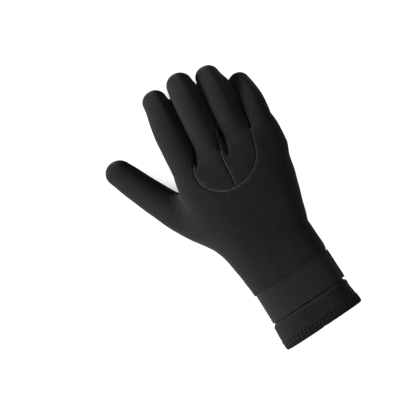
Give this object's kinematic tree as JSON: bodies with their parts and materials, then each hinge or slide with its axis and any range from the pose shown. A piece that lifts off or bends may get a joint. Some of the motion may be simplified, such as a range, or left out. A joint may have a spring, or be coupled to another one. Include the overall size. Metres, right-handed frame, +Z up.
{
  "type": "diving glove",
  "caption": "Right-hand neoprene diving glove with pre-curved fingers, a gripping palm panel, sewn back insets and a ribbed wrist strap closed by a hook tab.",
  "frame": {"origin": "on the surface the glove lies on, under the middle of the cuff and 10 mm in from its edge", "axes": "+Y along the wrist from the cuff to the fingertips, +X to the little finger, +Z up out of the back of the hand"},
  "size_m": [0.1475, 0.2443, 0.0539],
  "materials": {
    "jersey": "matt black knit jersey laminated on neoprene",
    "grip": "black jersey printed with raised rubber dots",
    "webbing": "ribbed woven elastic",
    "hook": "woven tab with a hook lining",
    "loop": "brushed loop pile"
  },
  "bodies": {
    "root": {"back_panel": "jersey", "palm_panel": "grip", "middle_finger_inset": "jersey", "ring_finger_inset": "jersey", "wrist_band": "webbing", "hook_tab": "hook", "loop_patch": "loop"}
  },
  "joints": []
}
